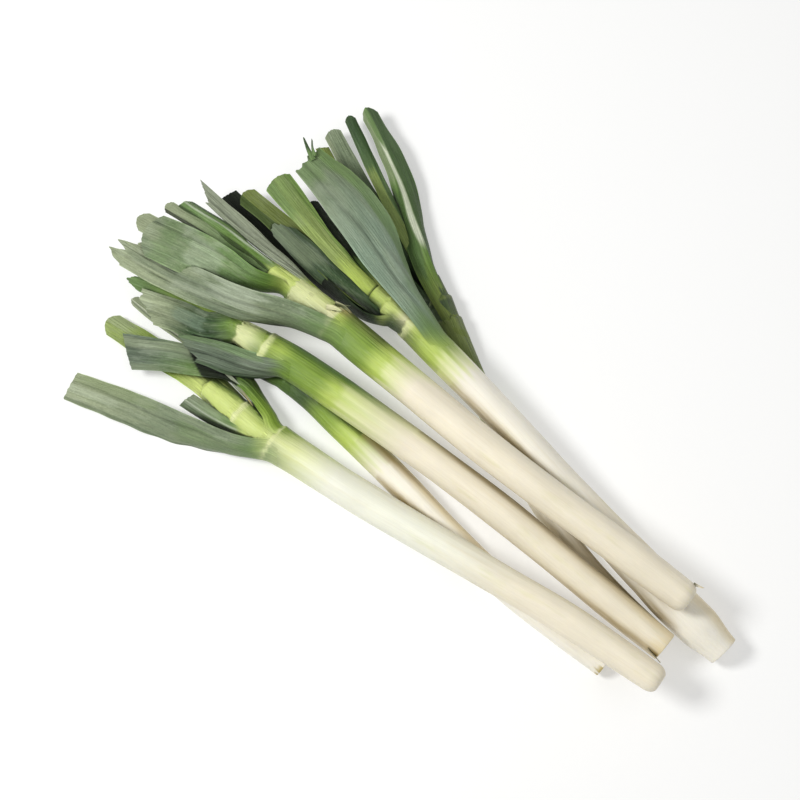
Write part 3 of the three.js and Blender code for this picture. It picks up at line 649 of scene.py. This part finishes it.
class Shader:
    """A material whose nodes are made and linked by short calls."""

    def __init__(self, name):
        self.material = bpy.data.materials.new(name)
        self.material.use_nodes = True
        self.tree = self.material.node_tree
        self.body = self.tree.nodes["Principled BSDF"]

    def node(self, kind, inputs=(), **settings):
        made = self.tree.nodes.new(kind)
        for key, value in settings.items():
            setattr(made, key, value)
        for key, value in dict(inputs).items():
            self.put(made.inputs[key], value)
        return made

    def put(self, socket, value):
        if isinstance(value, bpy.types.NodeSocket):
            self.tree.links.new(value, socket)
        else:
            socket.default_value = value

    def read(self, key, output="Fac"):
        """A value that the mesh carries at each point."""
        return self.node("ShaderNodeAttribute", attribute_name=key).outputs[output]

    def math(self, operation, a, b=0.0, c=0.0):
        return self.node("ShaderNodeMath", {0: a, 1: b, 2: c}, operation=operation).outputs[0]

    def scaled(self, vector, scale):
        made = self.node("ShaderNodeVectorMath", {0: vector, 1: scale}, operation="MULTIPLY")
        return made.outputs[0]

    def noise(self, vector, scale, detail=3.0, rough=0.55):
        made = self.node(
            "ShaderNodeTexNoise",
            {"Vector": self.scaled(vector, scale), "Scale": 1.0, "Detail": detail, "Roughness": rough},
        )
        return made.outputs["Fac"]

    def ranged(self, value, low, high, to_low, to_high):
        made = self.node(
            "ShaderNodeMapRange",
            {"Value": value, "From Min": low, "From Max": high, "To Min": to_low, "To Max": to_high},
            interpolation_type="SMOOTHSTEP",
        )
        return made.outputs["Result"]

    def blend(self, share, a, b, how="MIX"):
        made = self.node("ShaderNodeMix", data_type="RGBA", blend_type=how)
        self.put(made.inputs[0], share)
        self.put(made.inputs[6], a)
        self.put(made.inputs[7], b)
        return made.outputs[2]

    def grey(self, value):
        made = self.node("ShaderNodeCombineXYZ", {0: value, 1: value, 2: value})
        return made.outputs[0]

    def bump(self, height, distance, strength=1.0):
        inputs = {"Height": height, "Distance": distance, "Strength": strength}
        made = self.node("ShaderNodeBump", inputs)
        self.put(self.body.inputs["Normal"], made.outputs["Normal"])

    def finish(self, colour, roughness):
        self.put(self.body.inputs["Base Color"], colour)
        self.put(self.body.inputs["Roughness"], roughness)


def rgba(colour):
    return (*linear(colour), 1.0)


BUMP_HEIGHT = 0.0003  # metres, of the finest relief of both materials
# Marks on a stalk's skin: scale, detail and roughness of the noise, where it starts and is
# full, how strong it is there, its colour and how that is laid on
SKIN_MARKS = [
    ((0.3, 0.3, 0.012), 5.0, 0.6, 0.52, 0.72, 0.16, "buff", "MULTIPLY"),
    ((0.13, 0.13, 0.02), 5.0, 0.62, 0.55, 0.7, 0.22, "pale", "MULTIPLY"),
    ((0.5, 0.5, 0.45), 2.0, 0.55, 0.76, 0.8, 0.35, "straw", "MIX"),
]
# Noises of a leaf: scale, detail and roughness
LEAF_NOISES = {
    "fine": ((1.6, 1.0, 0.04), 3.0, 0.55),
    "broad": ((0.4, 1.0, 0.016), 4.0, 0.55),
    "mottle": ((0.22, 1.0, 0.035), 7.0, 0.66),
    "cloud": ((0.05, 1.0, 0.022), 5.0, 0.6),
    "grit": ((0.95, 1.0, 0.5), 5.0, 0.75),
}
# Marks of its dusty wax: the noise, where it starts and is full, how strong it is there, its
# colour, how that is laid on, and how much of it shows without wax
WAX_MARKS = [
    ("mottle", 0.46, 0.66, 0.5, "sage", "MIX", 0.0),
    ("mottle", 0.52, 0.34, 0.34, "fern", "MULTIPLY", 0.0),
    ("cloud", 0.5, 0.64, 0.4, "silver", "MIX", 0.0),
    # the last mark, pale specks, is partly wax dust and partly painted glints
    ("grit", 0.62, 0.74, 0.6, "white_edge_and_glint", "MIX", 0.1),
]


def skin_material(name, lines):
    """The moist skin of a stalk: fibres along it, darker by lines, on the mesh's colour."""
    s = Shader(name)
    grain = s.read("grain", "Vector")
    ribs = s.read("ribs")
    fine = s.noise(grain, (1.9, 1.9, 0.022), 3.0)
    broad = s.noise(grain, (0.42, 0.42, 0.009), 4.0)
    cloud = s.noise(grain, (0.09, 0.09, 0.03), 3.0)
    thick = s.ranged(broad, 0.3, 0.7, -0.35, 0.35)
    fibre = s.math("ADD", s.ranged(fine, 0.3, 0.7, -0.5, 0.5), thick)
    depth = s.math("MULTIPLY_ADD", ribs, 0.3, 0.035)
    light = s.math("MULTIPLY_ADD", fibre, depth, 1.0)
    light = s.math("MULTIPLY", light, s.ranged(cloud, 0.3, 0.7, 0.955, 1.035))
    colour = s.blend(1.0, s.read("tint", "Color"), s.grey(light), "MULTIPLY")
    line = s.ranged(s.noise(grain, (1.1, 1.1, 0.02), 2.0), 0.48, 0.62, 0.0, lines)
    colour = s.blend(s.math("MULTIPLY", line, ribs), colour, rgba("grass"), "MULTIPLY")
    for scale, detail, rough, low, high, most, mark, how in SKIN_MARKS:
        share = s.ranged(s.noise(grain, scale, detail, rough), low, high, 0.0, most)
        colour = s.blend(share, colour, rgba(mark), how)
    s.finish(colour, s.ranged(broad, 0.3, 0.7, 0.34, 0.5))
    s.body.inputs["Subsurface Weight"].default_value = 0.12
    s.body.inputs["Subsurface Scale"].default_value = 0.004
    s.body.inputs["Subsurface Radius"].default_value = (1.0, 0.9, 0.5)
    s.bump(s.math("MULTIPLY", fibre, s.math("ADD", ribs, 0.3)), BUMP_HEIGHT)
    return s.material


def leaf_material(name):
    """A waxy leaf: parallel veins, streaks and dusty bloom over colour the mesh carries."""
    s = Shader(name)
    grain = s.read("grain", "Vector")
    ribs = s.read("ribs")
    bloom = s.read("bloom")
    noises = {key: s.noise(grain, *values) for key, values in LEAF_NOISES.items()}
    broad = s.ranged(noises["broad"], 0.3, 0.7, -0.25, 0.25)
    streak = s.math("ADD", s.ranged(noises["fine"], 0.32, 0.68, -0.5, 0.5), broad)
    light = s.math("MULTIPLY_ADD", streak, s.math("MULTIPLY_ADD", ribs, 0.24, 0.12), 1.0)
    rough = s.ranged(noises["grit"], 0.3, 0.7, -0.5, 0.5)
    rough = s.math("MULTIPLY_ADD", rough, s.math("MULTIPLY_ADD", bloom, 0.26, 0.1), 1.0)
    light = s.math("MULTIPLY", light, rough)
    colour = s.blend(1.0, s.read("tint", "Color"), s.grey(light), "MULTIPLY")
    for noise, low, high, most, mark, how, bare in WAX_MARKS:
        waxed = s.math("ADD", bloom, bare)
        share = s.math("MULTIPLY", s.ranged(noises[noise], low, high, 0.0, most), waxed)
        colour = s.blend(share, colour, rgba(mark), how)
    s.finish(colour, s.ranged(noises["mottle"], 0.3, 0.7, 0.36, 0.56))
    s.body.inputs["Specular IOR Level"].default_value = 0.28
    s.bump(s.math("MULTIPLY_ADD", noises["grit"], 0.5, streak), BUMP_HEIGHT)
    return s.material


SKIN = skin_material("onion_skin", 0.5)
NECK_SKIN = skin_material("sheath_skin", 0.5)
LEAF = leaf_material("leaf_wax")


# Stalks

def passed_rims(letter, stalk, x, angle):
    """For each collar, how far a point lies past its sheath's uneven rim, from 0 to 1."""
    passed = []
    for k, (collar, (_, _, ragged)) in enumerate(zip(stalk["collars"], stalk["rims"])):
        wave = Waves(ord(letter) + k, 7, 9)(np.sin(angle) * 10, np.cos(angle) * 10)
        passed.append(smooth(x, collar + ragged * wave, collar + ragged * wave + RIM_ROLL))
    return passed


def stalk_tint(letter, stalk, x, angle):
    """The colour of a stalk, its -Y side partly painted shade, drawn towards each leaf's own green
    where it leaves.
    """
    passed = passed_rims(letter, stalk, x, angle)
    seed = ord(letter)
    turn = angle * 11
    tongue = 3.2 * Waves(seed + 3, 5, 400)(turn, x) + 2.2 * Waves(seed + 4, 14, 300)(turn, x)
    inside = smooth(np.abs(angle_from(angle, math.pi)), 0, 0.5)
    frayed = x + tongue * inside * smooth(x, stalk["split"] + 26, stalk["split"])
    tint = stops(frayed, stalk["tint"])
    # painted shade: the -Y side, turned from the light, takes the shade colours, which are partly the
    # sheaths' own darker green
    dark = smooth(-np.sin(angle), 0.1, 0.85) * smooth(np.cos(angle), -1.0, -0.2)
    tint = mix(tint, stops(frayed, stalk["shade"]), dark[..., None])
    for leaf in stalk["leaves"]:
        away = np.abs(angle_from(angle, math.radians(leaf["roll"][0])))
        near = smooth(away, 1.45, 0.5) * smooth(x, leaf["from"] - 24, leaf["from"] + 8)
        for collar, past in zip(stalk["collars"], passed):
            if collar < leaf["from"]:
                near = near * past
        tint = mix(tint, linear(leaf["tint"][0]), 0.75 * near[..., None])
    for collar, (colour, band, _), past in zip(stalk["collars"], stalk["rims"], passed):
        shown = smooth(x, collar - band, collar - 0.3 * band) * (1 - past)
        tint = mix(tint, linear(colour), 0.8 * shown[..., None])
    return tint


def angle_from(angle, middle):
    """The signed turn from a middle angle, between -pi and pi."""
    return (angle - middle + math.pi) % (2 * math.pi) - math.pi


def ring_points(axis, t, radius, angle):
    """Points round the axis. angle is 0 at the top and grows towards +Y."""
    point, _, side, up = axis.frame(t)
    return (
        point
        + side * (radius * np.sin(angle))[..., None]
        + up * (radius * np.cos(angle))[..., None]
    )


def relief(letter, x, angle, radius):
    """Shallow flutes and dents that keep a stalk from being a turned cylinder."""
    seed = ord(letter)
    lobes = Waves(seed, 26, 160)(np.sin(angle) * radius, x) + Waves(seed + 50, 30, 130)(
        np.cos(angle) * radius, x
    )
    flutes = Waves(seed + 90, 5, 240)(np.sin(angle) * radius + np.cos(angle) * 0.7 * radius, x)
    return LOBES * lobes + FLUTES * flutes


def sheath_radius(letter, stalk, x, angle):
    """The radius of a stalk's surface: each sheath's rim opens a little and then steps in."""
    plain = stalk["curve"].radius(stalk["curve"].at_x(x))
    radius = plain + relief(letter, x, angle, plain)
    for collar, past in zip(stalk["collars"], passed_rims(letter, stalk, x, angle)):
        radius = radius + RIM_FLARE * smooth(x, collar - 5, collar + 1) * (1 - past) - SHEATH * past
    return radius


def angles():
    return np.arange(SIDES) * (2 * math.pi / SIDES)


def stalk_piece(name, letter, stalk, x, t, radius, material, ribs):
    """A tube of rings at t along a stalk, with its colour and closed ends."""
    axis = stalk["curve"]
    angle = np.broadcast_to(angles()[None, :], radius.shape)
    points = ring_points(axis, t, radius, angle)
    rows = radius.shape[0]
    last = (rows - 1) * SIDES
    faces = [*grid_faces(rows, SIDES, wrap=True, flip=True)]
    faces += [list(range(SIDES)), [last + i for i in reversed(range(SIDES))]]
    plain = axis.radius(t)
    grain = np.stack([plain * np.sin(angle), plain * np.cos(angle), x], -1)
    tint = stalk_tint(letter, stalk, x, angle)
    pale = smooth(tint.max(-1), 0.42, 0.72)
    attributes = {
        "tint": tint.reshape(-1, 3),
        "grain": grain.reshape(-1, 3),
        "ribs": (ribs * (1 - 0.7 * pale)).ravel(),
    }
    shape = (1, rows, SIDES)
    return make_piece(name, points.reshape(-1, 3), shape, faces, material, attributes, sharp=50)


def root_profile(stalk, radius):
    """Rows of a root end as (distance from the end, how far drawn in)."""
    if stalk["root"] == "round":
        rows = [(0.6, 0.98), (0.25, 0.85), (0.5, 0.7), (0.15, 0.56)]
        for a in np.linspace(0, math.pi / 2, 14):
            rows.append((ROOT_DOME * (1 - math.cos(a)), 0.5 * (1 - math.sin(a))))
        return [(out, inset * radius) for out, inset in rows]
    rows = []
    for k in range(ROOT_LAYERS):
        deep = 1 - (k + 0.15) / ROOT_LAYERS
        shallow = 1 - (k + 0.85) / ROOT_LAYERS
        rows += [(1.3, deep * radius), (0.4, (deep - 0.03) * radius), (0.3, shallow * radius)]
    rows += [(0.05, 0.7), (0.0, 0.35), (0.25, 0.08), (0.9, 0.0)]
    return rows


def rib_depth(stalk, x, angle):
    """How strongly fibres show: hardly on white skin, and most on the darker side."""
    green = smooth(x, stalk["split"] - 24, stalk["split"] + 22)
    return 0.03 + green * (0.3 + 0.6 * smooth(-np.sin(angle), -0.4, 0.8))


def shaft_piece(letter, stalk):
    axis = stalk["curve"]
    end = float(axis.at_x(stalk["split"]))
    profile = root_profile(stalk, stalk["axis"][0][3])
    reach = [out for out, _ in profile]
    start = max(reach)
    count = round((end * axis.length - start) / SHAFT_STEP)
    run = np.concatenate([reach, np.linspace(start, axis.length * end, count + 1)[1:]])
    inset = np.concatenate([[i for _, i in profile], np.zeros(count)])[:, None]
    t = axis.at_share(run / axis.length)
    t[-1] = end
    t = np.repeat(t[:, None], SIDES, 1)
    x = axis.point(t)[..., 0] + MIDDLE[0]
    plain = axis.radius(t)
    fade = smooth(inset, plain * 0.9, plain * 0.2)
    radius = np.maximum(plain + relief(letter, x, angles(), plain) * fade - inset, 0.05)
    ribs = rib_depth(stalk, x, angles())
    piece = stalk_piece(f"{letter}_shaft_skin", letter, stalk, x, t, radius, SKIN, ribs)
    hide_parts(f"stalk_{letter}_shaft")


def neck_piece(letter, stalk):
    """The neck: each sheath ends in a thin uneven rim, and the crown draws in."""
    axis = stalk["curve"]
    start = float(axis.at_x(stalk["split"]))
    crown = stalk["axis"][-1][0]
    count = round((1 - start) * axis.length / NECK_STEP)
    rows = [*np.linspace(stalk["split"], crown, count)]
    rows += [c + o for c in stalk["collars"] for o in (-0.5, -0.1, 0.2, 0.4, 0.6, 0.75, 0.9)]
    x = np.repeat(np.sort(rows)[:, None], SIDES, 1)
    angle = np.broadcast_to(angles()[None, :], x.shape)
    radius = sheath_radius(letter, stalk, x, angle)
    radius = radius * (1 - 0.75 * smooth(x, crown - CROWN_TAPER, crown) ** 2)
    ribs = rib_depth(stalk, x, angle)
    for collar, past in zip(stalk["collars"], passed_rims(letter, stalk, x, angle)):
        ribs = ribs + 0.45 * smooth(x, collar - 14, collar) * (1 - past)
    piece = stalk_piece(f"{letter}_neck", letter, stalk, x, axis.at_x(x), radius, NECK_SKIN, ribs)
    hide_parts(f"stalk_{letter}_greens")


# Leaf blades

def tip_reach(tip, s):
    if "teeth" in tip:
        return np.interp(s, np.linspace(-1, 1, len(tip["teeth"])), tip["teeth"])
    return tip.get("slant", 0) * s - tip.get("round", 0) * s * s


def section(s, width, curl, fold):
    """The place and lean at s across a blade that turns by its fold and along an arc."""
    start = np.radians(fold) * smooth(np.abs(s), 0, 0.09)
    turn = np.radians(curl) / 2
    end = start + turn * np.abs(s)
    sideways = np.sign(s) * (width / 2) * (np.sin(end) - np.sin(start)) / turn
    down = (width / 2) * (np.cos(start) - np.cos(end)) / turn
    return sideways, down, np.sign(s) * end


def blade_curve(leaf, stalk):
    axis = stalk["curve"]
    base = []
    roll = math.radians(leaf["roll"][0])
    for x in (leaf["from"] - BLADE_ROOT, leaf["from"]):
        t = axis.at_x(x)
        point, _, side, up = axis.frame(t)
        layer = sum(collar < x for collar in stalk["collars"])
        reach = axis.radius(t) - layer * SHEATH - BLADE_SINK
        base.append(point + up * reach * math.cos(roll) + side * reach * math.sin(roll))
    return Curve([*base, *(np.array(leaf["path"], float) - MIDDLE)])


def hug(letter, stalk, leaf, p, s, run):
    """Lays a blade's base on the sheath that it grows from, rising out of it near its start."""
    angle = math.radians(leaf["roll"][0]) + s * math.radians(leaf["curl"][0]) / 2
    x = p[..., 0] + MIDDLE[0]
    angle = np.broadcast_to(angle, x.shape)
    tongue = ROOT_TONGUE * s * s
    laid = -SHEATH if leaf["inner"] else BLADE_LAID
    rise = mix(-ROOT_DEPTH, laid, smooth(run - tongue, 0, BLADE_ROOT - 2))
    rise = rise - EDGE_SINK * smooth(np.abs(s), 0.7, 1)
    radius = sheath_radius(letter, stalk, x, angle) + rise
    held = ring_points(stalk["curve"], stalk["curve"].at_x(x), radius, angle)
    return mix(p, held, smooth(run, BLADE_ROOT + 12, BLADE_ROOT - 2)[..., None])


def between(x, low, high, blur):
    """1 between low and high and 0 outside, blurred by so much at both."""
    return smooth(x, low - blur, low + blur) * smooth(x, high + blur, high - blur)


def blade_tint(leaf, sheath, s, v, run, seed):
    """A blade's colour, from the sheath through its greens and patches, and its bloom."""
    low, mid, high = (linear(c) for c in leaf["tint"])
    start, end = leaf["turn"]
    frayed = v + 0.02 * Waves(seed + 21, 0.5, 900)(s, run)
    wander = s + 0.07 * Waves(seed + 31, 2, 60)(s, run)
    bloom = leaf["bloom"] * smooth(frayed, start, end)
    tint = mix(sheath, low, smooth(run, BLADE_ROOT, BLADE_ROOT + 18)[..., None])
    tint = mix(tint, mid, smooth(frayed, start, end)[..., None])
    tint = mix(tint, high, smooth(frayed, 0.5, 0.97)[..., None])
    for s_low, s_high, v_low, v_high, colour, strength, *slant in leaf["patches"]:
        across = between(wander, s_low, s_high, 0.07)
        blur = 0.006 if slant else 0.03
        place = v + slant[0] * s if slant else frayed
        there = strength * across * between(place, v_low, v_high, blur)
        tint = mix(tint, linear(colour), there[..., None])
        bloom = bloom * (1 - there)
    return tint, bloom


def blade_piece(name, seed, leaf, curve, letter=None, stalk=None):
    """A thin curved blade along a curve. One that grows from a stalk starts in its sheath."""
    rows = max(8, round(curve.length / BLADE_STEP)) + 1
    u = np.linspace(0, 1, rows)[:, None]
    s = np.sin(np.linspace(-1, 1, BLADE_COLUMNS + 1) * math.pi / 2 * 0.8)[None, :]
    s = s / s.max()
    jag = 0.7 if "teeth" in leaf["tip"] else 0.22
    reach = tip_reach(leaf["tip"], s) + jag * Waves(seed, 0.35, 1, 9)(s, 0.0)
    place = u + smooth(u, TIP_ZONE, 1) * reach / curve.length
    beyond = np.maximum(0, place - 1) * curve.length
    v = np.minimum(place, 1)
    point, along, side, up = curve.frame(curve.at_share(v))
    point = point + along * beyond[..., None]
    roll = np.radians(mix(leaf["roll"][0], leaf["roll"][1], smooth(v, 0.1, 0.8)))[..., None]
    out = up * np.cos(roll) + side * np.sin(roll)
    across = np.cross(out, along)
    width = np.interp(v, np.linspace(0, 1, len(leaf["width"])), leaf["width"])
    curl = mix(leaf["curl"][0], leaf["curl"][1], np.minimum(1, v * 1.6))
    fold = leaf["fold"] * np.minimum(1, v * 2)
    sideways, down, lean = section(s, width, curl, fold)
    normal = out * np.cos(lean)[..., None] + across * np.sin(lean)[..., None]
    run = v * curve.length
    arc = s * width / 2
    free = smooth(v, 0.08, 0.4)
    lift = BUCKLES * free * Waves(seed + 7, 14, 60)(arc, run)
    lift += VEINS * free * leaf["ribs"] * Waves(seed + 8, 3.4, 220)(arc, run)
    lift += EDGE_WAVES * free * s * s * Waves(seed + 9, 60, 34)(arc * 0, run)
    crease = np.zeros_like(lift)
    for line in leaf["crease"]:
        bend = line + 0.08 * Waves(seed + 11, 1, 90)(0.0, run)
        off = (s - bend) * width / 2
        crease = np.maximum(crease, free * np.exp(-(off / CREASE_WIDTH) ** 2))
    lift -= CREASE_DEPTH * crease
    p = point + across * sideways[..., None] - out * down[..., None] + normal * lift[..., None]
    sheath = linear(leaf["tint"][0])
    if stalk:
        angle = np.broadcast_to(roll[..., 0] + s * np.radians(curl) / 2, run.shape)
        sheath = stalk_tint(letter, stalk, p[..., 0] + MIDDLE[0], angle)
        p = hug(letter, stalk, leaf, p, s, run)
    thick = mix(leaf["thick"], leaf["thick"] * BLADE_EDGE / BLADE_THICK, s * s)
    thick = thick * mix(0.35, 1, smooth(1 - np.abs(s), 0, 0.05))
    q = p - normal * thick[..., None]
    faces_out = grid_faces(rows, BLADE_COLUMNS + 1)
    size = p.shape[0] * p.shape[1]
    faces = [*faces_out[:, ::-1], *(faces_out + size), *rim_faces(rows, BLADE_COLUMNS + 1, size)]
    tint, bloom = blade_tint(leaf, sheath, s, v, run, seed)
    tint = tint * (1 - CREASE_SHADE * crease[..., None])
    edge = EDGE_LIGHT * smooth(np.abs(s), 0.92, 1.0) * free
    tint = np.broadcast_to(tint * (1 + edge[..., None]), p.shape)
    grain = np.stack([arc, np.full_like(arc, seed * 3.7), run], -1)
    under = grain + np.array([0, 40, 0])
    attributes = {
        "tint": np.vstack([tint.reshape(-1, 3)] * 2),
        "grain": np.vstack([grain.reshape(-1, 3), under.reshape(-1, 3)]),
        "ribs": np.full(2 * size, float(leaf["ribs"])),
        "bloom": np.tile(np.broadcast_to(bloom, arc.shape).ravel(), 2),
    }
    points = np.vstack([p.reshape(-1, 3), q.reshape(-1, 3)])
    return make_piece(name, points, (2, rows, BLADE_COLUMNS + 1), faces, LEAF, attributes)


def rim_faces(rows, columns, size):
    """The narrow faces that close the rim between a blade's two sides."""
    rim = list(range(columns - 1))
    rim += [j * columns + columns - 1 for j in range(rows - 1)]
    rim += [(rows - 1) * columns + i for i in range(columns - 1, 0, -1)]
    rim += [j * columns for j in range(rows - 1, 0, -1)]
    return [[a, b, b + size, a + size] for a, b in zip(rim, rim[1:] + rim[:1])]


def make_stalks():
    for number, (letter, stalk) in enumerate(STALKS.items()):
        stalk["curve"] = Axis(stalk["axis"])
        shaft_piece(letter, stalk)
        neck_piece(letter, stalk)
        for k, leaf in enumerate(stalk["leaves"]):
            leaf = {**USUAL_LEAF, **leaf}
            curve = blade_curve(leaf, stalk)
            name = f"{letter}_leaf_{k + 1}"
            piece = blade_piece(name, 10 * number + k, leaf, curve, letter, stalk)
            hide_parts(f"stalk_{letter}_greens")


def make_scraps():
    for k, (letter, part, width, roll, tint, path) in enumerate(SCRAPS):
        scrap = {**USUAL_SCRAP, "width": width, "roll": roll, "tint": tint}
        curve = Curve(np.array(path, float) - MIDDLE)
        piece = blade_piece(f"{letter}_scrap_{k + 1}", 200 + k, scrap, curve)
        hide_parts(f"stalk_{letter}_{part}")


# Stage, light and camera

VIEW_AZIMUTH = 220
VIEW_ELEVATION = 76
VIEW_DISTANCE = 1.2089
VIEW_TARGET = Vector((0.0258, 0.0021, 0.018))


def direction(azimuth, elevation):
    a, e = math.radians(azimuth), math.radians(elevation)
    return Vector((math.sin(a) * math.cos(e), -math.cos(a) * math.cos(e), math.sin(e)))


def aim(thing, place, target):
    thing.location = place
    thing.rotation_mode = "QUATERNION"
    thing.rotation_quaternion = (target - place).to_track_quat("-Z", "Y")


def make_floor():
    size = 4.0
    mesh = bpy.data.meshes.new("floor")
    corners = [(-size, -size, 0), (size, -size, 0), (size, size, 0), (-size, size, 0)]
    mesh.from_pydata(corners, [], [(0, 1, 2, 3)])
    s = Shader("pale_floor")
    s.body.inputs["Base Color"].default_value = (0.66, 0.66, 0.65, 1)
    s.body.inputs["Emission Color"].default_value = (1.0, 1.0, 1.0, 1)
    s.body.inputs["Emission Strength"].default_value = 0.36
    s.body.inputs["Roughness"].default_value = 0.9
    s.body.inputs["Specular IOR Level"].default_value = 0.1
    mesh.materials.append(s.material)
    floor = bpy.data.objects.new("floor", mesh)
    floor.location.z = -0.0002
    bpy.context.collection.objects.link(floor)


def make_light(name, azimuth, elevation, distance, size, power):
    data = bpy.data.lights.new(name, "AREA")
    data.shape = "DISK"
    data.size = size
    data.energy = power
    lamp = bpy.data.objects.new(name, data)
    bpy.context.collection.objects.link(lamp)
    aim(lamp, VIEW_TARGET + direction(azimuth, elevation) * distance, VIEW_TARGET)


def make_camera():
    data = bpy.data.cameras.new("camera")
    data.lens = 85
    data.sensor_width = 36
    data.clip_start = 0.01
    camera = bpy.data.objects.new("camera", data)
    bpy.context.collection.objects.link(camera)
    aim(camera, VIEW_TARGET + direction(VIEW_AZIMUTH, VIEW_ELEVATION) * VIEW_DISTANCE, VIEW_TARGET)
    bpy.context.scene.camera = camera


def make_world():
    world = bpy.data.worlds.new("studio")
    world.use_nodes = True
    background = world.node_tree.nodes["Background"]
    background.inputs["Color"].default_value = (1.0, 1.0, 1.0, 1)
    background.inputs["Strength"].default_value = 0.4
    bpy.context.scene.world = world
    bpy.context.scene.view_settings.view_transform = "Standard"


make_camera()
make_floor()
make_world()
make_light("key", VIEW_AZIMUTH - 90, 56, 1.4, 0.4, 13)
make_light("fill", VIEW_AZIMUTH + 90, 70, 1.6, 1.2, 3)
make_stalks()
make_scraps()
paint_crevice_shade()
